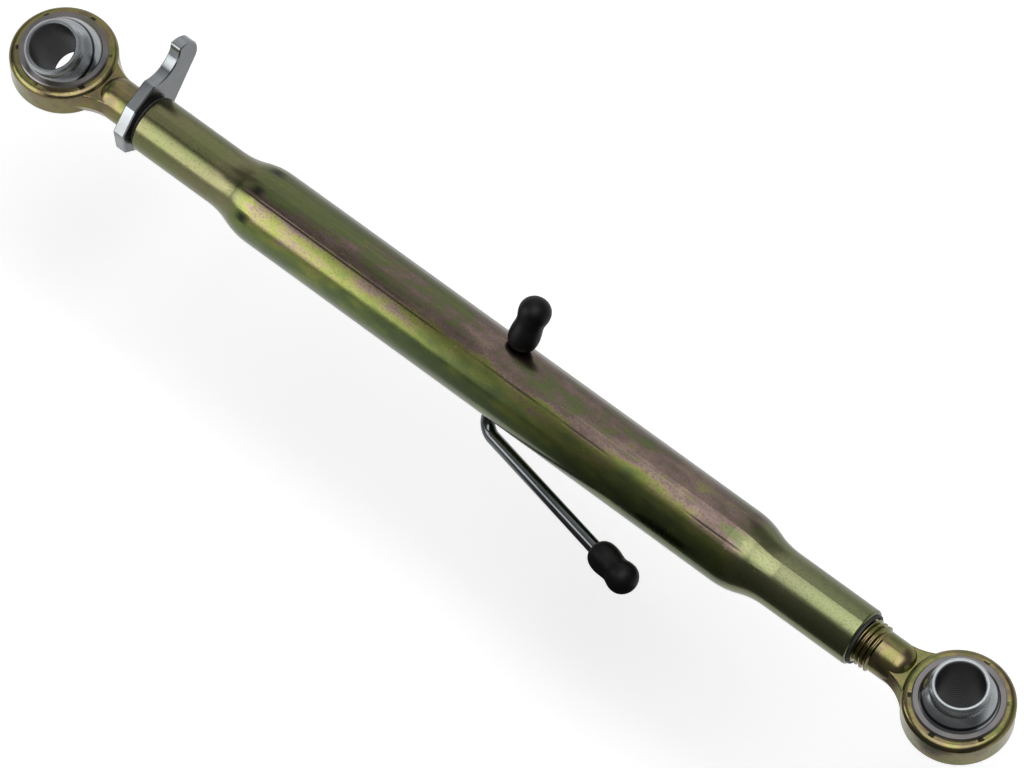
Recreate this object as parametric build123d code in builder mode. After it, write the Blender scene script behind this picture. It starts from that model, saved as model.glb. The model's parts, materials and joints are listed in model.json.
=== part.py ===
"""Tractor top link: a turnbuckle with a ball joint at each end, a lock nut and a swinging turning handle.

Frame, in mm: the left ball's centre is the origin, +X runs along the tube to the right ball,
+Z is the axis of both eyes and the link lies flat with its handle below the tube.
"""

import os
from math import asin, atan2, cos, degrees, radians, sin, sqrt

from build123d import *

# Ball, for a category 2 pin
pin_d = 25.4
pin_gap = 0.15
ball_r = 24.0
ball_width = 51.0
collar_r = 16.0
collar_chamfer = 1.2
bore_chamfer = 0.8
left_ball_tilt = 19.0
right_ball_tilt = 0.0

# Eye of a forged end
seat_gap = 0.05  # running clearance between ball and seat
seat_r = ball_r + seat_gap
ring_wall = 0.7
ring_r = seat_r + ring_wall  # retaining ring, pressed into the eye
ring_ledge = 4.0  # height of the ledge that carries the ring
ring_top = 11.0
ring_chamfer = 0.7
lip_draft = 0.6
eye_wall = 5.25
eye_r = ring_r + eye_wall
eye_face_r = ring_r + 0.4 * eye_wall
eye_band = 13.0  # thickness at the rim
eye_face = 18.8  # thickness across the flat faces
rim_crown = 0.5

# Screw thread, right hand at the left end and left hand at the right end
thread_d = 27.0
thread_pitch = 3.0
thread_root_r = (thread_d - 1.2269 * thread_pitch) / 2
thread_tap_r = (thread_d - 1.0825 * thread_pitch) / 2
thread_turns = 35  # from shut to screwed right out
thread_hold = 37.0  # length still in the tube when screwed right out

# Pad, neck and threaded shank of a forged end, measured outwards from the eye's rim
neck_r = 12.0
pad_thick = 14.6
pad_draft = 18.0  # degrees, from the parting line to both faces
pad_edge = 1.2
pad_waist = 13.0  # to where the pad's hollow flanks run out into the neck
neck_shoulder = 8.5  # to the end of the round shoulder between pad and neck
neck_length = 20.8  # to the start of the thread
shoulder_r = 6.5
pad_reach = eye_r + pad_waist
neck_start = eye_r + neck_shoulder
neck_end = eye_r + neck_length
thread_run_out = 2.6
shank_chamfer = 1.8

# Lock nut with a flat lever
nut_sides = 8
nut_wall = 6.5  # from the thread to a flat
nut_across = thread_d + 2 * nut_wall
nut_thick = 7.4
nut_gap = 0.3
nut_corner = 57.0  # first corner behind the lever, in degrees from its centre line
nut_corners = 6  # the other two give way to the lever
nut_round = 1.6
nut_edge = 0.7
lever_angle = 52.0  # degrees from +Z towards +Y
# Lever outline, as distances along and across its centre line, the thumb side negative
lever_back = (43.4, 10.4)
lever_tip = (50.8, -1.5)
lever_corner = (45.0, -11.6)
lever_hollow = (33.0, -6.8)
lever_thumb = (21.5, -16.0)

# Swaged tube
tube_length = 492.0
tube_r = 22.25
tube_wall = 5.0
tube_neck = 54.5
swage = 30.0
mouth_round = 1.6
seal_wipe = 0.2  # between the seal rings and the thread's crests
seal_wall = 1.3
seal_inner_r = thread_d / 2 + seal_wipe
seal_r = seal_inner_r + seal_wall
mouth_wall = 1.75  # of the tube around a seal ring
tube_neck_r = seal_r + mouth_wall
seal_depth = 1.6  # seal ring's share inside the tube's mouth
seal_proud = 1.4  # and outside it
seal_gap = 0.05

# Whole link, shut: the lock nut just fits between the neck and the left seal ring
end_reach = neck_end + thread_run_out + nut_thick + nut_gap + seal_proud  # ball centre to tube end
closed_length = tube_length + 2 * end_reach
middle_x = closed_length / 2
shank_end = end_reach + thread_turns * thread_pitch + thread_hold

# Turning handle
rod_r = 4.0
rod_gap = 0.2
rod_lean = 33.0  # degrees from +Z towards +Y
rod_offset = 4.0  # of the rod from the tube's middle, towards the right end
rod_x = middle_x + rod_offset
arm_swing = -17.3  # degrees about the rod, from +X
arm_clear = 6.35  # between the tube and the arm
arm_drop = tube_r + arm_clear + rod_r  # tube axis to arm axis
arm_reach = 135.5  # rod axis to the end of the knob
bend_r = 9.0
knob_length = 31.0
knob_seat = 24.0  # depth of the rod's hole in a knob
knob_lift = 0.4  # gap between the upper knob and the tube
knob_base_r = 6.4
knob_lobe = (10.0, 8.5)  # distance along the knob and radius
knob_waist = (16.2, 7.9)
knob_crown = (22.7, 9.0)
quarter_turn = 90

os.makedirs("parts", exist_ok=True)

left_frame = Plane(origin=(0, 0, 0), x_dir=(1, 0, 0), z_dir=(0, 0, 1))
right_frame = Plane(origin=(closed_length, 0, 0), x_dir=(-1, 0, 0), z_dir=(0, 0, 1))


def upright(frame):
    """The plane through a frame's own x and z axes, for profiles turned about either of them."""
    return Plane(origin=frame.origin, x_dir=frame.x_dir, z_dir=-frame.y_dir)


def tilted(frame, angle):
    """A frame rolled about its own x axis."""
    axis = frame.z_dir * cos(radians(angle)) - frame.y_dir * sin(radians(angle))
    return Plane(origin=frame.origin, x_dir=frame.x_dir, z_dir=axis)


# Tube: one length of pipe, swaged down over both tapped ends so that its wall keeps about the same thickness
left_end = end_reach
right_end = closed_length - end_reach
bore_r = tube_r - tube_wall
with BuildPart() as tube:
    with BuildSketch(Plane.XZ) as tube_profile:
        with BuildLine():
            marks = [left_end, left_end + tube_neck, left_end + tube_neck + swage]
            marks += [2 * middle_x - x for x in reversed(marks)]
            for small, large, shut in ((tube_neck_r, tube_r, False), (thread_tap_r, bore_r, True)):
                half = (small + large) / 2
                rise, fall = (marks[1] + marks[2]) / 2, (marks[3] + marks[4]) / 2
                Line((marks[0], small), (marks[1], small))
                TangentArc((marks[1], small), (rise, half), tangent=(1, 0))
                TangentArc((marks[2], large), (rise, half), tangent=(-1, 0))
                Line((marks[2], large), (marks[3], large))
                TangentArc((marks[3], large), (fall, half), tangent=(1, 0))
                TangentArc((marks[4], small), (fall, half), tangent=(-1, 0))
                Line((marks[4], small), (marks[5], small))
            Line((marks[0], thread_tap_r), (marks[0], tube_neck_r))
            Line((marks[5], thread_tap_r), (marks[5], tube_neck_r))
        make_face()
    revolve(axis=Axis.X)
    mouths = tube.faces().filter_by(Axis.X)
    fillet(mouths.edges().filter_by(lambda e: e.radius > seal_r), radius=mouth_round)
    for x, inward in ((left_end, 1), (right_end, -1)):
        with BuildSketch(Plane(origin=(x, 0, 0), z_dir=(inward, 0, 0))):
            Circle(seal_r + seal_gap)
        extrude(amount=seal_depth, mode=Mode.SUBTRACT)
    rod_axis = Vector(0, sin(radians(rod_lean)), cos(radians(rod_lean)))
    with BuildSketch(Plane(origin=(rod_x, 0, 0), z_dir=rod_axis)):
        Circle(rod_r + rod_gap)
    extrude(amount=tube_r + mouth_round, both=True, mode=Mode.SUBTRACT)
tube.part.label = "body_tube"
export_step(tube.part, "parts/body_tube.step")


# Forged ends: an eye with a ball seat open at the top, a waisted pad and a shank plain at the thread's root
def ball_end(frame):
    side = upright(frame)
    eye_axis = Axis(frame.origin, frame.z_dir)
    shank_axis = Axis(frame.origin, frame.x_dir)
    flank_r = (pad_reach**2 + neck_r**2 - eye_r**2) / (2 * (eye_r - neck_r))
    flank_angle = atan2(neck_r + flank_r, pad_reach)
    flank_start = (eye_r * cos(flank_angle), eye_r * sin(flank_angle))
    with BuildPart() as forging:
        with BuildSketch(frame):
            with BuildLine():
                upper = TangentArc((pad_reach, neck_r), flank_start, tangent=(-1, 0))
                lower = TangentArc(
                    (pad_reach, -neck_r), (flank_start[0], -flank_start[1]), tangent=(-1, 0)
                )
                Line(upper @ 1, lower @ 1)
                Line(upper @ 0, lower @ 0)
            make_face()
        extrude(amount=pad_thick / 2, both=True, taper=pad_draft)
        pad_faces = forging.faces().filter_by(Axis(frame.origin, frame.z_dir))
        fillet(pad_faces.edges().filter_by(GeomType.CIRCLE), radius=pad_edge)
        with BuildSketch(side):
            with BuildLine():
                shoulder = TangentArc((neck_start, neck_r), (eye_r, shoulder_r), tangent=(-1, 0))
                Polyline(
                    shoulder @ 1,
                    (eye_face_r, shoulder_r),
                    (eye_face_r, 0),
                    (shank_end, 0),
                    (shank_end, thread_root_r - shank_chamfer),
                    (shank_end - shank_chamfer, thread_root_r),
                    (neck_end + neck_r - thread_root_r, thread_root_r),
                    (neck_end, neck_r),
                    shoulder @ 0,
                )
            make_face()
        revolve(axis=shank_axis)
        with BuildSketch(side):
            with BuildLine():
                rim = ((eye_r + eye_face_r) / 2 + rim_crown, (eye_face + eye_band) / 4 + rim_crown)
                top_turn = ThreePointArc((eye_face_r, eye_face / 2), rim, (eye_r, eye_band / 2))
                low_turn = ThreePointArc(
                    (eye_face_r, -eye_face / 2), (rim[0], -rim[1]), (eye_r, -eye_band / 2)
                )
                Line(top_turn @ 1, low_turn @ 1)
                Polyline(
                    low_turn @ 0,
                    (ring_r + lip_draft, -eye_face / 2),
                    (ring_r, -ring_top),
                    (0, -ring_top),
                    (0, eye_face / 2),
                    top_turn @ 0,
                )
            make_face()
        revolve(axis=eye_axis)
        with BuildSketch(side):
            with BuildLine():
                low = degrees(asin(ring_top / seat_r))
                seat = CenterArc((0, 0), seat_r, -low, low)
                Polyline(
                    seat @ 1,
                    (seat_r, ring_ledge),
                    (ring_r, ring_ledge),
                    (ring_r, ring_top),
                    (0, ring_top),
                    (0, -ring_top),
                    seat @ 0,
                )
            make_face()
        revolve(axis=eye_axis, mode=Mode.SUBTRACT)
    return forging.part


# Retaining rings: dropped on the ledge above the ball, pressed home and staked
def retaining_ring(frame):
    low, high = (degrees(asin(z / seat_r)) for z in (ring_ledge, ring_top))
    with BuildPart() as ring:
        with BuildSketch(upright(frame)):
            with BuildLine():
                seat = CenterArc((0, 0), seat_r, low, high - low)
                Polyline(
                    seat @ 1,
                    (ring_r - ring_chamfer, ring_top),
                    (ring_r, ring_top - ring_chamfer),
                    (ring_r, ring_ledge),
                    seat @ 0,
                )
            make_face()
        revolve(axis=Axis(frame.origin, frame.z_dir))
    return ring.part


# Balls: a sphere with a collar each side and a through bore for the hitch pin
def ball(frame):
    bore = pin_d / 2 + pin_gap
    half = ball_width / 2
    collar = degrees(asin(sqrt(ball_r**2 - collar_r**2) / ball_r))
    with BuildPart() as turned:
        with BuildSketch(upright(frame)):
            with BuildLine():
                sphere = CenterArc((0, 0), ball_r, -collar, 2 * collar)
                Polyline(
                    sphere @ 1,
                    (collar_r, half - collar_chamfer),
                    (collar_r - collar_chamfer, half),
                    (bore + bore_chamfer, half),
                    (bore, half - bore_chamfer),
                    (bore, bore_chamfer - half),
                    (bore + bore_chamfer, -half),
                    (collar_r - collar_chamfer, -half),
                    (collar_r, collar_chamfer - half),
                    sphere @ 0,
                )
            make_face()
        revolve(axis=Axis(frame.origin, frame.z_dir))
    return turned.part


# Seal rings: rubber, seated in the tube's mouths and standing a little proud of them
def seal_ring(x, outward):
    with BuildPart() as seal:
        with BuildSketch(Plane(origin=(x - outward * seal_depth, 0, 0), z_dir=(outward, 0, 0))):
            Circle(seal_r)
            Circle(seal_inner_r, mode=Mode.SUBTRACT)
        extrude(amount=seal_depth + seal_proud)
    return seal.part


for name, frame, tilt, mouth, outward in (
    ("left", left_frame, left_ball_tilt, left_end, -1),
    ("right", right_frame, right_ball_tilt, right_end, 1),
):
    for piece, solid in (
        ("ball_end", ball_end(frame)),
        ("retaining_ring", retaining_ring(frame)),
        ("ball", ball(tilted(frame, tilt))),
        ("seal_ring", seal_ring(mouth, outward)),
    ):
        solid.label = f"{name}_{piece}"
        export_step(solid, f"parts/{name}_{piece}.step")


# Lock nut: an eight-sided plate with its lever forged on, the lever hollowed on the thumb side
nut_face = left_end - seal_proud - nut_gap
lever_dir = Vector(0, sin(radians(lever_angle)), cos(radians(lever_angle)))
nut_plane = Plane(origin=(nut_face, 0, 0), x_dir=lever_dir, z_dir=(-1, 0, 0))
corner_r = nut_across / 2 / cos(radians(180 / nut_sides))
with BuildPart() as nut:
    with BuildSketch(nut_plane) as nut_outline:
        with BuildLine():
            turns = [radians(nut_corner + 360 / nut_sides * k) for k in range(nut_corners)]
            corners = [(corner_r * cos(t), corner_r * sin(t)) for t in turns]
            Polyline(lever_back, *corners, lever_thumb)
            ThreePointArc(lever_thumb, lever_hollow, lever_corner)
            ThreePointArc(lever_corner, lever_tip, lever_back)
        make_face()
        fillet(nut_outline.vertices(), radius=nut_round)
        Circle(thread_tap_r, mode=Mode.SUBTRACT)
    extrude(amount=nut_thick)
    rims = nut.faces().filter_by(Axis.X).edges()
    chamfer(rims, length=nut_edge)
nut.part.label = "lock_nut"
export_step(nut.part, "parts/lock_nut.step")


# Handle: a rod through the tube's middle, bent square below it, with a knob pushed on each end
arm_flat = Vector(1, 0, 0)
arm_dir = arm_flat * cos(radians(arm_swing)) + rod_axis.cross(arm_flat) * sin(radians(arm_swing))
handle_plane = Plane(origin=(rod_x, 0, 0), x_dir=arm_dir, z_dir=arm_dir.cross(rod_axis))
rod_top = tube_r + knob_lift + knob_seat
rod_tip = arm_reach - knob_length + knob_seat
with BuildPart() as rod:
    with BuildLine(handle_plane) as rod_path:
        FilletPolyline((0, rod_top), (0, -arm_drop), (rod_tip, -arm_drop), radius=bend_r)
    with BuildSketch(Plane(origin=rod_path.line @ 0, z_dir=rod_path.line % 0)):
        Circle(rod_r)
    sweep()
rod.part.label = "handle_rod"
export_step(rod.part, "parts/handle_rod.step")


def knob(start, along):
    """A knob whose open end stands at start, with its axis along the rod."""
    across = arm_dir if abs(along.dot(arm_dir)) < sin(radians(45)) else rod_axis
    plane = Plane(origin=start, x_dir=along, z_dir=along.cross(across))
    with BuildPart() as moulded:
        with BuildSketch(plane):
            with BuildLine():
                skirt = Spline((0, knob_base_r), knob_lobe, knob_waist, knob_crown, tangents=[(1, 1), (1, 0)])
                cap_length = knob_length - knob_crown[0]
                cap = EllipticalCenterArc(
                    (knob_crown[0], 0), cap_length, knob_crown[1], start_angle=0, arc_size=quarter_turn
                )
                Polyline(cap @ 0, (knob_seat, 0), (knob_seat, rod_r), (0, rod_r), skirt @ 0)
            make_face()
        revolve(axis=Axis(start, along))
    return moulded.part


for name, start, along in (
    ("upper_knob", handle_plane.from_local_coords(Vector(0, tube_r + knob_lift, 0)), rod_axis),
    ("arm_knob", handle_plane.from_local_coords(Vector(arm_reach - knob_length, -arm_drop, 0)), arm_dir),
):
    solid = knob(start, along)
    solid.label = name
    export_step(solid, f"parts/{name}.step")
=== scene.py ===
import json
from math import cos, pi, radians, sin

import bpy
from mathutils import Matrix, Vector


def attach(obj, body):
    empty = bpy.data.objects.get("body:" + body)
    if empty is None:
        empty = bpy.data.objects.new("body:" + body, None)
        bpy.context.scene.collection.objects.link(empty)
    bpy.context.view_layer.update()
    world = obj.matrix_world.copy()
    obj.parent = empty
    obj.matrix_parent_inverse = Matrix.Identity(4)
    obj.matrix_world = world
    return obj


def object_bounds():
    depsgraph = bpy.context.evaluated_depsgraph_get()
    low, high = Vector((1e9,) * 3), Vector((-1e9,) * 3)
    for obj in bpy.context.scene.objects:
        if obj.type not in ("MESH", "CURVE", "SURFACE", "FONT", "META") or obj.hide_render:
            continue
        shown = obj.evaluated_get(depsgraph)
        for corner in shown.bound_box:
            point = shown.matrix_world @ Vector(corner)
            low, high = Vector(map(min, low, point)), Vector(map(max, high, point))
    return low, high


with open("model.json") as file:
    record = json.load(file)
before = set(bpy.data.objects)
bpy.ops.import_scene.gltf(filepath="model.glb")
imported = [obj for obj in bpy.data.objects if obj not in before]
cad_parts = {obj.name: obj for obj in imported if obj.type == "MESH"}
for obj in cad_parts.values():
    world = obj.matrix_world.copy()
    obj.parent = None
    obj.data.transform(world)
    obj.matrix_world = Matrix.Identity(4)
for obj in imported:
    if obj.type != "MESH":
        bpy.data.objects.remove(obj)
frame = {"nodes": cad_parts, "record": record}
cad_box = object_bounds()
parts = frame["nodes"]
bores = {mount["name"]: mount for mount in frame["record"]["mounts"]}


# Body tube: one length of welded steel pipe, swaged down at both ends and tapped there.
# It is zinc plated and passivated yellow, which leaves a mottled film from green to gold to
# brown-violet, drawn out along the pipe, and a fine dark line where the pipe was welded.
def arithmetic(tree, operation, first, second=0.0, third=0.0):
    """One sum on the surface's values; a number or a node's output can stand for each term."""
    node = tree.nodes.new("ShaderNodeMath")
    node.operation = operation
    for socket, term in zip(node.inputs, (first, second, third)):
        if isinstance(term, (int, float)):
            socket.default_value = term
        else:
            tree.links.new(term, socket)
    return node.outputs[0]


def total(tree, first, *others):
    """All the terms added up."""
    for term in others:
        first = arithmetic(tree, "ADD", first, term)
    return first


def product(tree, first, *others):
    """All the terms multiplied."""
    for term in others:
        first = arithmetic(tree, "MULTIPLY", first, term)
    return first


def scaled(tree, value, gain, base=0.0):
    """value times gain, plus base."""
    return arithmetic(tree, "MULTIPLY_ADD", value, gain, base)


def inverse(tree, mask):
    """The part that a mask leaves out."""
    return arithmetic(tree, "SUBTRACT", 1.0, mask)


def distance_from_axis(tree, first, second):
    """The distance from an axis, from the two offsets square to it."""
    return arithmetic(tree, "SQRT", total(tree, arithmetic(tree, "POWER", first, 2.0),
                                          arithmetic(tree, "POWER", second, 2.0)))


def split_axes(tree, vector):
    """The three parts of a vector."""
    node = tree.nodes.new("ShaderNodeSeparateXYZ")
    tree.links.new(vector, node.inputs["Vector"])
    return node.outputs["X"], node.outputs["Y"], node.outputs["Z"]


def smooth_step(tree, value, low, high):
    """0 below low, 1 above high and a soft ramp between."""
    node = tree.nodes.new("ShaderNodeMapRange")
    node.interpolation_type = "SMOOTHSTEP"
    node.inputs["From Min"].default_value = low
    node.inputs["From Max"].default_value = high
    tree.links.new(value, node.inputs["Value"])
    return node.outputs["Result"]


def drifting_noise(tree, vector, stretch, detail=3.0, roughness=0.55):
    """Noise that is drawn out by different amounts along each axis, in cycles per metre."""
    place = tree.nodes.new("ShaderNodeMapping")
    place.inputs["Scale"].default_value = stretch
    tree.links.new(vector, place.inputs["Vector"])
    noise = tree.nodes.new("ShaderNodeTexNoise")
    noise.inputs["Scale"].default_value = 1.0
    noise.inputs["Detail"].default_value = detail
    noise.inputs["Roughness"].default_value = roughness
    tree.links.new(place.outputs["Vector"], noise.inputs["Vector"])
    return noise.outputs["Fac"]


def colour_ramp(tree, value, stops, joining="EASE"):
    """Colours at places from 0 to 1, such as the film's, in order of its thickness and its painted
    sheen.
    """
    ramp = tree.nodes.new("ShaderNodeValToRGB")
    ramp.color_ramp.interpolation = joining
    for spare in range(len(stops) - 2):
        ramp.color_ramp.elements.new(0.5)
    for element, (place, colour) in zip(ramp.color_ramp.elements, stops):
        element.position = place
        element.color = (*colour, 1.0)
    tree.links.new(value, ramp.inputs["Fac"])
    return ramp.outputs["Color"]


def blended(tree, share, first, second):
    """Two colours mixed by a mask."""
    mix = tree.nodes.new("ShaderNodeMix")
    mix.data_type = "RGBA"
    tree.links.new(share, mix.inputs["Factor"])
    for socket, colour in ((mix.inputs["A"], first), (mix.inputs["B"], second)):
        if isinstance(colour, tuple):
            socket.default_value = (*colour, 1.0)
        else:
            tree.links.new(colour, socket)
    return mix.outputs["Result"]


# Wear that every finish shares: small scuffs, a cloudy film and a fine crystalline grain
surface_wear = bpy.data.node_groups.new("plating_wear", "ShaderNodeTree")
surface_wear.interface.new_socket("Vector", in_out="INPUT", socket_type="NodeSocketVector")
for output in ("Cloud", "Grain", "Scuff"):
    surface_wear.interface.new_socket(output, in_out="OUTPUT", socket_type="NodeSocketFloat")
wear_at = surface_wear.nodes.new("NodeGroupInput").outputs["Vector"]
wear_out = surface_wear.nodes.new("NodeGroupOutput")
cloud = drifting_noise(surface_wear, wear_at, (26, 34, 34), 4.0)
grain = drifting_noise(surface_wear, wear_at, (1300, 1300, 1300), 2.0)
knocks = drifting_noise(surface_wear, wear_at, (120, 210, 210), 5.0, 0.7)
scuff = smooth_step(surface_wear, knocks, 0.6, 0.72)
surface_wear.links.new(cloud, wear_out.inputs["Cloud"])
surface_wear.links.new(grain, wear_out.inputs["Grain"])
surface_wear.links.new(scuff, wear_out.inputs["Scuff"])


def new_finish(name, metallic=1.0):
    """A new material with its shader, the surface's coordinates and the shared wear on them."""
    material = bpy.data.materials.new(name)
    material.use_nodes = True
    tree = material.node_tree
    shader = tree.nodes["Principled BSDF"]
    shader.inputs["Metallic"].default_value = metallic
    at = tree.nodes.new("ShaderNodeTexCoord").outputs["Object"]
    wear = tree.nodes.new("ShaderNodeGroup")
    wear.node_tree = surface_wear
    tree.links.new(at, wear.inputs["Vector"])
    return material, tree, shader, at, wear.outputs


def painted(tree, shader, colour, roughness):
    """Wires a colour and a roughness to the shader."""
    tree.links.new(colour, shader.inputs["Base Color"])
    tree.links.new(roughness, shader.inputs["Roughness"])


def raised(tree, shader, height, strength, distance):
    """A relief on the shader's normal; distance is its depth in metres for a height of 1."""
    bump = tree.nodes.new("ShaderNodeBump")
    bump.inputs["Strength"].default_value = strength
    bump.inputs["Distance"].default_value = distance
    tree.links.new(height, bump.inputs["Height"])
    tree.links.new(bump.outputs["Normal"], shader.inputs["Normal"])


end_x = {side: bores[f"{side}_bore"]["pos_m"][0] for side in ("left", "right")}
tube_middle = end_x["right"] / 2
pipe_radius = 0.022
across_y, across_z = 0.914, 0.405  # the direction across the tube as the photograph sees it
swage_reach = 0.164  # from the middle to where a swage begins
jaws, jaw_turn, jaw_length = 8, radians(14), 0.007  # of the swaging die, which leave small dents
seam_turn, seam_twist = radians(21.9), radians(9.6)  # the weld's place round it, and per metre
tube_finish, tree, shader, at, wear = new_finish("yellow_zinc_tube")
x, y, z = split_axes(tree, at)
across = total(tree, scaled(tree, y, across_y / pipe_radius),
               scaled(tree, z, across_z / pipe_radius))
radius = distance_from_axis(tree, y, z)
upper = smooth_step(tree, across, -0.15, 0.3)
near_left = inverse(tree, smooth_step(tree, x, 0.19, 0.26))
far_right = smooth_step(tree, x, 0.27, 0.42)
wide = smooth_step(tree, radius, 0.0204, 0.0222)  # 0 on the necks, 1 between the swages

# The film's tint: its value rises towards the upper side as the camera sees it, a little further at
# the upper left and at the right end, so the tint runs from green and lime below, where the front
# panel's highlight falls, to pink and violet-brown above: a painted iridescent sheen. The patches
# of four sizes on top are the film's own.
drift = drifting_noise(tree, at, (13, 44, 44), 3.0, 0.5)
blotch = drifting_noise(tree, at, (40, 125, 125), 3.0, 0.45)
mottle = drifting_noise(tree, at, (90, 170, 170), 4.0, 0.55)
speck = drifting_noise(tree, at, (700, 900, 900), 2.0, 0.5)
film_and_sheen = total(
    tree,
    # Painted sheen: the terms in across, far_right and upper with near_left set the tint by side
    # and place; the noise terms are the film's own patches.
    scaled(tree, arithmetic(tree, "MINIMUM", across, 0.3), 0.42, -0.37),
    scaled(tree, far_right, 0.02),
    scaled(tree, product(tree, upper, near_left), 0.13),
    scaled(tree, drift, 0.65),
    scaled(tree, blotch, 0.5),
    scaled(tree, mottle, 0.45),
    scaled(tree, speck, 0.14),
)
wide_film_and_sheen = colour_ramp(tree, film_and_sheen, (
    (0.12, (0.076, 0.098, 0.046)),
    (0.26, (0.104, 0.138, 0.047)),
    (0.37, (0.162, 0.178, 0.042)),
    (0.46, (0.184, 0.146, 0.090)),
    (0.55, (0.150, 0.104, 0.104)),
    (0.65, (0.114, 0.082, 0.068)),
    (0.75, (0.076, 0.100, 0.040)),
    (0.90, (0.098, 0.108, 0.046)),
), "B_SPLINE")
fleck_green = (0.116, 0.124, 0.036)
fleck = smooth_step(tree, drifting_noise(tree, at, (150, 230, 230), 3.0, 0.6), 0.56, 0.68)
wide_film_and_sheen = blended(tree, product(tree, fleck, upper, 0.5), wide_film_and_sheen, fleck_green)

# The necks, where swaging has smoothed the skin: an even film, paler at the right end
neck_film = colour_ramp(tree, scaled(tree, drift, 0.25, wear["Cloud"]), (
    (0.34, (0.092, 0.112, 0.043)),
    (0.58, (0.124, 0.138, 0.058)),
    (0.82, (0.140, 0.133, 0.069)),
))
pale_film = (0.156, 0.172, 0.092)
neck_film = blended(tree, scaled(tree, smooth_step(tree, x, 0.42, 0.52), 0.6), neck_film, pale_film)
colour = blended(tree, wide, neck_film, wide_film_and_sheen)

# Marks over the film: painted shade along the tube's far edge as the camera sees it, drawing lines,
# the weld, the jaws' dents darkened with painted shade, and specks
far_edge_shade_dark, drawn_bright = (0.03, 0.03, 0.016), (0.17, 0.16, 0.085)
weld_dark, jaw_dent_shade = (0.030, 0.029, 0.016), (0.022, 0.024, 0.018)
speck_dark = (0.050, 0.052, 0.026)
# Painted shade: the colour darkens towards the tube's far edge in the camera's view, where
# side_share nears 1.
side_share = arithmetic(tree, "DIVIDE", across, arithmetic(tree, "DIVIDE", radius, pipe_radius))
far_edge_shade = scaled(tree, smooth_step(tree, side_share, 0.82, 1.0), 0.62)
colour = blended(tree, far_edge_shade, colour, far_edge_shade_dark)
streak = drifting_noise(tree, at, (5, 420, 420), 3.0, 0.6)
colour = blended(tree, smooth_step(tree, streak, 0.56, 0.75), colour, drawn_bright)
turn = arithmetic(tree, "ARCTAN2", scaled(tree, y, -1.0), z)
off_seam = arithmetic(tree, "ABSOLUTE", arithmetic(
    tree, "SUBTRACT", turn, scaled(tree, x, seam_twist, seam_turn)))
seam_line = product(tree, inverse(tree, smooth_step(tree, off_seam, 0.010, 0.042)), wide,
                    smooth_step(tree, drift, 0.30, 0.48))
colour = blended(tree, scaled(tree, seam_line, 0.7), colour, weld_dark)
from_middle = arithmetic(tree, "ABSOLUTE", arithmetic(tree, "SUBTRACT", x, tube_middle))
from_swage = arithmetic(tree, "ABSOLUTE", arithmetic(tree, "SUBTRACT", from_middle, swage_reach))
jaw = arithmetic(tree, "COSINE", scaled(tree, turn, jaws, -jaws * jaw_turn))
jaw_mark = product(
    tree,
    smooth_step(tree, jaw, 0.2, 1.0),
    inverse(tree, smooth_step(tree, from_swage, 0.0, jaw_length)),
    smooth_step(tree, blotch, 0.28, 0.52),
    scaled(tree, far_right, -0.75, 1.0),
)
# Painted shade in the jaws' dents, on top of the dents that the relief below presses in.
colour = blended(tree, jaw_mark, colour, jaw_dent_shade)
colour = blended(tree, scaled(tree, smooth_step(tree, speck, 0.48, 0.72), 0.35), colour, speck_dark)
painted(tree, shader, colour,
        total(tree, scaled(tree, wear["Cloud"], 0.12, 0.17), scaled(tree, wear["Scuff"], 0.08)))
relief = total(tree, scaled(tree, streak, 0.5), scaled(tree, wear["Grain"], 0.2),
               scaled(tree, seam_line, -0.8), scaled(tree, jaw_mark, -3.0))
raised(tree, shader, relief, 0.5, 0.00018)
parts["body_tube"].data.materials[0] = tube_finish


# Ball ends: forged steel eyes with a waisted pad and a round neck, yellow passivated like the tube.
# Forging leaves a slightly lumpy skin, and stake marks from the press show round the seat's mouth;
# their pits are painted dark, painted shade in them.
stakes, stake_turn = 6, radians(34)  # round each seat, and where the first one lies
stake_pit_shade = (0.02, 0.02, 0.012)
for side in end_x:
    forging_finish, tree, shader, at, wear = new_finish(f"yellow_zinc_forging_{side}")
    x, y, z = split_axes(tree, at)
    lumps = drifting_noise(tree, at, (70, 70, 70), 4.0, 0.6)
    drift = drifting_noise(tree, at, (75, 75, 75), 4.0, 0.55)
    colour = colour_ramp(tree, drift, (
        (0.30, (0.082, 0.098, 0.036)),
        (0.42, (0.152, 0.150, 0.056)),
        (0.52, (0.176, 0.148, 0.064)),
        (0.60, (0.132, 0.094, 0.064)),
        (0.70, (0.108, 0.122, 0.046)),
    ), "B_SPLINE")
    from_eye = arithmetic(tree, "SUBTRACT", x, end_x[side])
    seat_radius = distance_from_axis(tree, from_eye, y)
    seat_turn = arithmetic(tree, "ARCTAN2", y, from_eye)
    beat = arithmetic(tree, "COSINE", scaled(tree, seat_turn, stakes, -stakes * stake_turn))
    stake = product(
        tree,
        smooth_step(tree, beat, 0.90, 0.975),
        inverse(tree, smooth_step(tree, seat_radius, 0.0258, 0.0272)),
        smooth_step(tree, drift, 0.40, 0.52),
        smooth_step(tree, z, 0.0070, 0.0085),
    )
    # Painted shade in the stake marks' pits, which the relief below also presses in.
    colour = blended(tree, stake, colour, stake_pit_shade)
    painted(tree, shader, colour, scaled(tree, wear["Cloud"], 0.16, 0.16))
    relief = total(tree, lumps, scaled(tree, wear["Grain"], 0.12), scaled(tree, stake, -1.0))
    raised(tree, shader, relief, 0.5, 0.0005)
    parts[f"{side}_ball_end"].data.materials[0] = forging_finish


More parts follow.
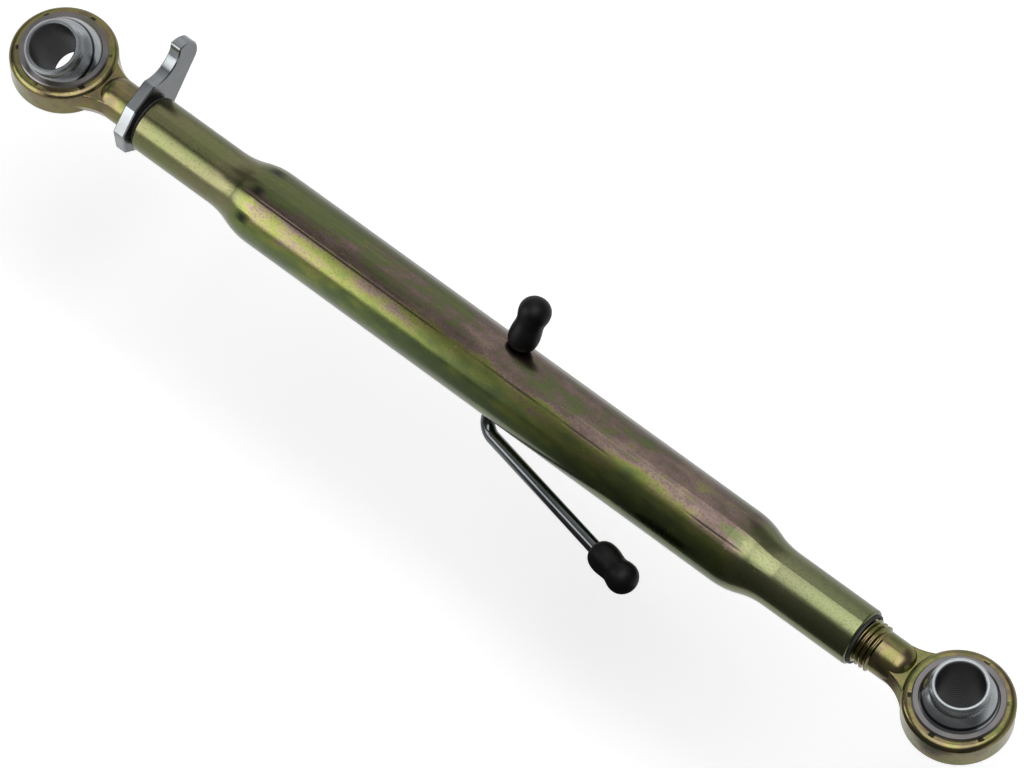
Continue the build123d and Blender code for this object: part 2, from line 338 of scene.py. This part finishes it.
# Shank threads: M27 with a 3 mm pitch, rolled on the shanks, right hand at the left end and left
# hand at the right end, so that one turn of the tube moves both ends. Plated with the shanks.
thread_pitch, thread_turns, steps_per_turn = 0.003, 50, 40
thread_start = 0.0512  # from the eye's centre
ridge_radius, ridge_height = 0.01253, 0.00184  # at half the ridge's height
ridge_width, crest_share = 0.0026, 0.18
for side, first, hand, body in (
    ("left", thread_start, 1.0, "left_end"),
    ("right", end_x["right"] - thread_start - thread_pitch * thread_turns, -1.0, "right_end"),
):
    bpy.ops.object.select_all(action="DESELECT")
    bpy.ops.mesh.primitive_plane_add(size=1.0, location=(first, 0.0, ridge_radius),
                                     rotation=(pi / 2, 0.0, 0.0))
    thread = bpy.context.object
    thread.name = f"{side}_shank_thread"
    thread.scale = (ridge_width, ridge_height, 1.0)
    bpy.ops.object.transform_apply(location=True, rotation=True, scale=True)
    bpy.ops.object.mode_set(mode="EDIT")
    bpy.ops.mesh.select_all(action="DESELECT")
    bpy.ops.object.mode_set(mode="OBJECT")
    for vertex in thread.data.vertices:
        vertex.select = vertex.co.z > ridge_radius
    bpy.ops.object.mode_set(mode="EDIT")
    bpy.ops.transform.resize(value=(crest_share, 1.0, 1.0))
    bpy.ops.mesh.select_all(action="SELECT")
    bpy.ops.mesh.delete(type="ONLY_FACE")
    bpy.ops.object.mode_set(mode="OBJECT")
    helix = thread.modifiers.new("helix", "SCREW")
    helix.axis = "X"
    helix.angle = hand * 2 * pi
    helix.screw_offset = thread_pitch
    helix.iterations = thread_turns
    helix.steps = helix.render_steps = steps_per_turn
    helix.use_merge_vertices = False
    bpy.ops.object.modifier_apply(modifier="helix")
    bpy.ops.object.mode_set(mode="EDIT")
    bpy.ops.mesh.select_all(action="SELECT")
    bpy.ops.mesh.fill_holes(sides=4)
    bpy.ops.mesh.select_all(action="SELECT")
    bpy.ops.mesh.normals_make_consistent(inside=False)
    bpy.ops.object.mode_set(mode="OBJECT")
    bpy.ops.object.shade_smooth_by_angle(angle=radians(25))
    thread.data.materials.append(bpy.data.materials[f"yellow_zinc_forging_{side}"])
    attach(thread, body)


# Retaining rings: pressed into the eyes over the balls and staked. Pressing burnishes them, so
# the film on them is thin and grey with a violet cast.
ring_finish, tree, shader, _, wear = new_finish("pressed_ring_steel")
colour = colour_ramp(tree, wear["Cloud"], (
    (0.30, (0.100, 0.097, 0.100)),
    (0.52, (0.146, 0.136, 0.134)),
    (0.72, (0.116, 0.108, 0.084)),
))
painted(tree, shader, colour, scaled(tree, wear["Cloud"], 0.2, 0.22))
raised(tree, shader, wear["Grain"], 0.2, 0.0001)
for side in end_x:
    parts[f"{side}_retaining_ring"].data.materials[0] = ring_finish


# Balls: turned and case-hardened steel, smooth on the sphere, with a dark line where the collar
# begins. The bore is painted near black, painted shade inside the hole, with fine tool rings, and
# is made hardly metallic, so it hardly mirrors the light.
shoulder_at = 0.0133  # from the ball's middle, along its bore
tool_ring_pitch = 0.0024
shoulder_dark = (0.03, 0.032, 0.034)
groove_dark, land_dark = (0.012, 0.013, 0.013), (0.034, 0.036, 0.036)
for side in end_x:
    ball_finish, tree, shader, at, wear = new_finish(f"hardened_ball_{side}")
    x, y, z = split_axes(tree, at)
    bore_y, bore_z = bores[f"{side}_bore"]["axis"][1:]
    along = total(tree, scaled(tree, y, bore_y), scaled(tree, z, bore_z))
    square_to_bore = total(tree, scaled(tree, y, bore_z), scaled(tree, z, -bore_y))
    from_eye = arithmetic(tree, "SUBTRACT", x, end_x[side])
    bore_radius = distance_from_axis(tree, from_eye, square_to_bore)
    in_bore = inverse(tree, smooth_step(tree, bore_radius, 0.0130, 0.0136))
    colour = colour_ramp(tree, wear["Cloud"], (
        (0.30, (0.240, 0.260, 0.274)),
        (0.55, (0.350, 0.368, 0.380)),
        (0.75, (0.280, 0.290, 0.294)),
    ))
    off_shoulder = arithmetic(tree, "ABSOLUTE", arithmetic(
        tree, "SUBTRACT", arithmetic(tree, "ABSOLUTE", along), shoulder_at))
    shoulder_line = inverse(tree, smooth_step(tree, off_shoulder, 0.0004, 0.0011))
    colour = blended(tree, shoulder_line, colour, shoulder_dark)
    rings = arithmetic(tree, "SINE", scaled(tree, along, 2 * pi / tool_ring_pitch))
    # Painted shade inside the bore: near black, the lands of the tool rings barely lighter than
    # their grooves.
    bore_tone = blended(tree, smooth_step(tree, rings, -0.6, 0.6), groove_dark, land_dark)
    colour = blended(tree, in_bore, colour, bore_tone)
    painted(tree, shader, colour,
            scaled(tree, in_bore, 0.25, scaled(tree, wear["Cloud"], 0.2, 0.14)))
    tree.links.new(scaled(tree, in_bore, -0.95, 1.0), shader.inputs["Metallic"])
    shader.inputs["Specular IOR Level"].default_value = 0.1
    relief = total(tree, product(tree, rings, in_bore, 0.15), scaled(tree, wear["Grain"], 0.02))
    raised(tree, shader, relief, 0.5, 0.0002)
    parts[f"{side}_ball"].data.materials[0] = ball_finish


# Seal rings: black rubber wipers in the tube's mouths, matt and a little dusty. Their near black is
# partly painted shade, standing in for the shade in the gap between the nut and the tube.
seal_and_gap_shade_finish, tree, shader, _, wear = new_finish("seal_rubber", metallic=0.0)
# Near black: the rubber's own colour and painted shade of the gap.
colour = colour_ramp(tree, wear["Cloud"], (
    (0.35, (0.008, 0.008, 0.008)),
    (0.70, (0.020, 0.019, 0.018)),
))
painted(tree, shader, colour, scaled(tree, wear["Grain"], 0.2, 0.55))
raised(tree, shader, wear["Grain"], 0.3, 0.0001)
for side in end_x:
    parts[f"{side}_seal_ring"].data.materials[0] = seal_and_gap_shade_finish


# Lock nut: a flat steel plate with its lever in one piece, in bright, clear-passivated zinc. Its
# two plate faces, square to the tube, are darker than its cut edges: painted shade, for the shaded
# floor that they mirror. Small scuffs show where it is knocked loose.
scuff_dark, plate_painted_shade = (0.08, 0.085, 0.085), (0.070, 0.076, 0.080)
zinc_finish, tree, shader, _, wear = new_finish("bright_zinc")
colour = colour_ramp(tree, wear["Cloud"], (
    (0.28, (0.155, 0.166, 0.172)),
    (0.50, (0.238, 0.252, 0.259)),
    (0.75, (0.192, 0.200, 0.202)),
))
colour = blended(tree, scaled(tree, wear["Scuff"], 0.5), colour, scuff_dark)
# Painted shade: the plate faces, square to X, are darkened towards plate_painted_shade.
facing_x = split_axes(tree, tree.nodes.new("ShaderNodeTexCoord").outputs["Normal"])[0]
plate_face_shade = smooth_step(tree, arithmetic(tree, "ABSOLUTE", facing_x), 0.75, 0.95)
colour = blended(tree, scaled(tree, plate_face_shade, 0.7), colour, plate_painted_shade)
painted(tree, shader, colour, scaled(tree, wear["Cloud"], 0.22, 0.14))
raised(tree, shader, wear["Grain"], 0.08, 0.0001)
parts["lock_nut"].data.materials[0] = zinc_finish


# Handle rod: drawn round bar bent cold, in the same clear zinc as the nut but smoother; it is
# painted darker than the nut, painted shade for the dark tube and surroundings that it mirrors.
rod_finish, tree, shader, _, wear = new_finish("bright_zinc_rod")
# Painted shade: these colours are darker than the nut's zinc.
colour = colour_ramp(tree, wear["Cloud"], (
    (0.30, (0.066, 0.072, 0.075)),
    (0.60, (0.105, 0.112, 0.115)),
))
painted(tree, shader, colour, scaled(tree, wear["Cloud"], 0.14, 0.07))
raised(tree, shader, wear["Grain"], 0.12, 0.0001)
parts["handle_rod"].data.materials[0] = rod_finish


# Handle knobs: black moulded plastic pushed on the rod's ends, satin from the mould.
knob_finish, tree, shader, _, wear = new_finish("black_knob_plastic", metallic=0.0)
colour = colour_ramp(tree, wear["Cloud"], (
    (0.30, (0.0020, 0.0020, 0.0020)),
    (0.70, (0.0035, 0.0035, 0.0035)),
))
painted(tree, shader, colour, scaled(tree, wear["Cloud"], 0.2, 0.36))
shader.inputs["Specular IOR Level"].default_value = 0.14
raised(tree, shader, wear["Grain"], 0.15, 0.0001)
for name in ("upper_knob", "arm_knob"):
    parts[name].data.materials[0] = knob_finish


# Studio: a plain white floor, low enough for the handle's arm to swing above it, under a fill that
# the metal doesn't mirror. What the metal mirrors is five soft panels, a dark flag by the right
# end, and a surround that is pale near the horizon and darker above.
floor_size, floor_white, floor_glow = 12.0, (0.86, 0.86, 0.86, 1.0), 0.46
swing_room = 0.105  # under the link
floor_z = cad_box[0][2] - swing_room
bpy.ops.object.select_all(action="DESELECT")
bpy.ops.mesh.primitive_plane_add(size=floor_size, location=(0.3, 0.0, floor_z))
floor = bpy.context.object
floor.name = "studio_floor"
floor_paint = bpy.data.materials.new("floor_white")
floor_paint.use_nodes = True
tree = floor_paint.node_tree
paint = tree.nodes["Principled BSDF"]
paint.inputs["Base Color"].default_value = floor_white
paint.inputs["Roughness"].default_value = 0.9
paint.inputs["Specular IOR Level"].default_value = 0.0
ray = tree.nodes.new("ShaderNodeLightPath")
seen = ray.outputs["Is Camera Ray"]
for kind in ("Is Glossy Ray", "Is Transmission Ray"):
    seen = arithmetic(tree, "MAXIMUM", seen, ray.outputs[kind])
paint.inputs["Emission Color"].default_value = (1.0, 1.0, 1.0, 1.0)
tree.links.new(scaled(tree, seen, floor_glow), paint.inputs["Emission Strength"])
floor.data.materials.append(floor_paint)

world = bpy.data.worlds.new("studio_surround")
bpy.context.scene.world = world
world.use_nodes = True
tree = world.node_tree
surround = tree.nodes["Background"]
sky_y, sky_z = split_axes(tree, tree.nodes.new("ShaderNodeTexCoord").outputs["Generated"])[1:]
front_air = colour_ramp(tree, sky_z, ((0.0, (1.0, 1.0, 1.0)), (0.06, (0.13, 0.13, 0.13))))
back_air = colour_ramp(tree, sky_z, ((0.02, (1.0, 1.0, 1.0)), (0.40, (0.34, 0.34, 0.35))))
tree.links.new(blended(tree, smooth_step(tree, sky_y, -0.1, 0.4), front_air, back_air),
               surround.inputs["Color"])
surround.inputs["Strength"].default_value = 1.0


def soft_panel(name, place, aim, size, radiance, edges, lean=0.0):
    """A softbox at place that faces aim. It falls off at its left, right, low and high edges over
    these shares of its width and height, and lean slants the right edge."""
    lamp = bpy.data.lights.new(name, "AREA")
    lamp.shape = "RECTANGLE"
    lamp.size, lamp.size_y = size
    lamp.energy = radiance * pi * size[0] * size[1]
    lamp.use_nodes = True
    tree = lamp.node_tree
    surface = tree.nodes.new("ShaderNodeNewGeometry").outputs["Parametric"]
    on_x, on_y = split_axes(tree, surface)[:2]
    left, right, low, high = edges
    glow = product(
        tree,
        smooth_step(tree, on_x, 0.0, left),
        smooth_step(tree, inverse(tree, scaled(tree, on_y, lean, on_x)), 0.0, right),
        smooth_step(tree, on_y, 0.0, low),
        smooth_step(tree, inverse(tree, on_y), 0.0, high),
    )
    tree.links.new(glow, tree.nodes["Emission"].inputs["Strength"])
    panel = bpy.data.objects.new(name, lamp)
    bpy.context.scene.collection.objects.link(panel)
    panel.location = place
    panel.rotation_euler = (Vector(aim) - Vector(place)).to_track_quat("-Z", "Y").to_euler()
    panel.visible_camera = False
    return panel


for mirrored in (
    soft_panel("front_panel", place=(-0.535, -0.65, 0.47), aim=(-0.535, 0.0, 0.0),
               size=(1.35, 0.94), radiance=4.2, edges=(0.1, 0.17, 0.12, 0.42), lean=0.13),
    soft_panel("left_panel", place=(-0.33, -0.46, 0.80), aim=(0.03, 0.0, 0.0),
               size=(0.42, 0.36), radiance=2.3, edges=(0.4, 0.4, 0.4, 0.4)),
    soft_panel("high_panel", place=(-0.685, 0.0, 0.90), aim=(-0.685, 0.0, 0.0),
               size=(1.1, 0.5), radiance=0.6, edges=(0.2, 0.07, 0.35, 0.35)),
    soft_panel("back_panel", place=(-0.35, 1.05, 1.35), aim=(0.3, 0.0, 0.0),
               size=(2.2, 2.8), radiance=0.82, edges=(0.3, 0.3, 0.1, 0.5)),
    soft_panel("ceiling_panel", place=(0.76, -0.34, 1.80), aim=(0.76, -0.34, 0.0),
               size=(2.0, 2.9), radiance=3.9, edges=(0.13, 0.35, 0.36, 0.36)),
):
    mirrored.visible_diffuse = False
top_fill = soft_panel("top_fill", place=(0.3, 0.1, 2.2), aim=(0.3, 0.0, 0.0),
                      size=(2.4, 2.4), radiance=2.4, edges=(0.1, 0.1, 0.1, 0.1))
top_fill.visible_glossy = False

flag_middle, flag_tilt = (0.52, -0.149, 0.0855), radians(133.5)
flag_width, flag_height, flag_grey = 0.80, 0.31, (0.12, 0.12, 0.12, 1.0)
bpy.ops.object.select_all(action="DESELECT")
bpy.ops.mesh.primitive_plane_add(size=1.0, location=flag_middle, rotation=(flag_tilt, 0.0, 0.0))
flag = bpy.context.object
flag.name = "black_flag"
flag.scale = (flag_width, flag_height, 1.0)
bpy.ops.object.transform_apply(location=True, rotation=True, scale=True)
flag_cloth = bpy.data.materials.new("flag_black")
flag_cloth.use_nodes = True
tree = flag_cloth.node_tree
cloth = tree.nodes["Principled BSDF"]
cloth.inputs["Base Color"].default_value = flag_grey
cloth.inputs["Roughness"].default_value = 0.95
flag_x = split_axes(tree, tree.nodes.new("ShaderNodeTexCoord").outputs["Object"])[0]
tree.links.new(smooth_step(tree, flag_x, 0.17, 0.40), cloth.inputs["Alpha"])
flag.data.materials.append(flag_cloth)
flag.visible_camera = flag.visible_shadow = flag.visible_diffuse = False


# Camera: a long lens from above the near right, as the photograph was taken.
azimuth, elevation, distance = radians(39.9), radians(60.0), 3.6
view_middle, shift_right, shift_up = Vector((0.3125, 0.0, 0.0)), 0.0037, -0.0026
back = Vector((sin(azimuth) * cos(elevation), -cos(azimuth) * cos(elevation), sin(elevation)))
right = Vector((cos(azimuth), sin(azimuth), 0.0))
up = back.cross(right)
target = view_middle + right * shift_right + up * shift_up
lens = bpy.data.cameras.new("camera")
lens.sensor_width = 36.0
lens.lens = 239.0
camera = bpy.data.objects.new("camera", lens)
bpy.context.scene.collection.objects.link(camera)
camera.matrix_world = (Matrix.Translation(target + back * distance)
                       @ Matrix((right, up, back)).transposed().to_4x4())
bpy.context.scene.camera = camera
bpy.context.scene.view_settings.view_transform = "Standard"
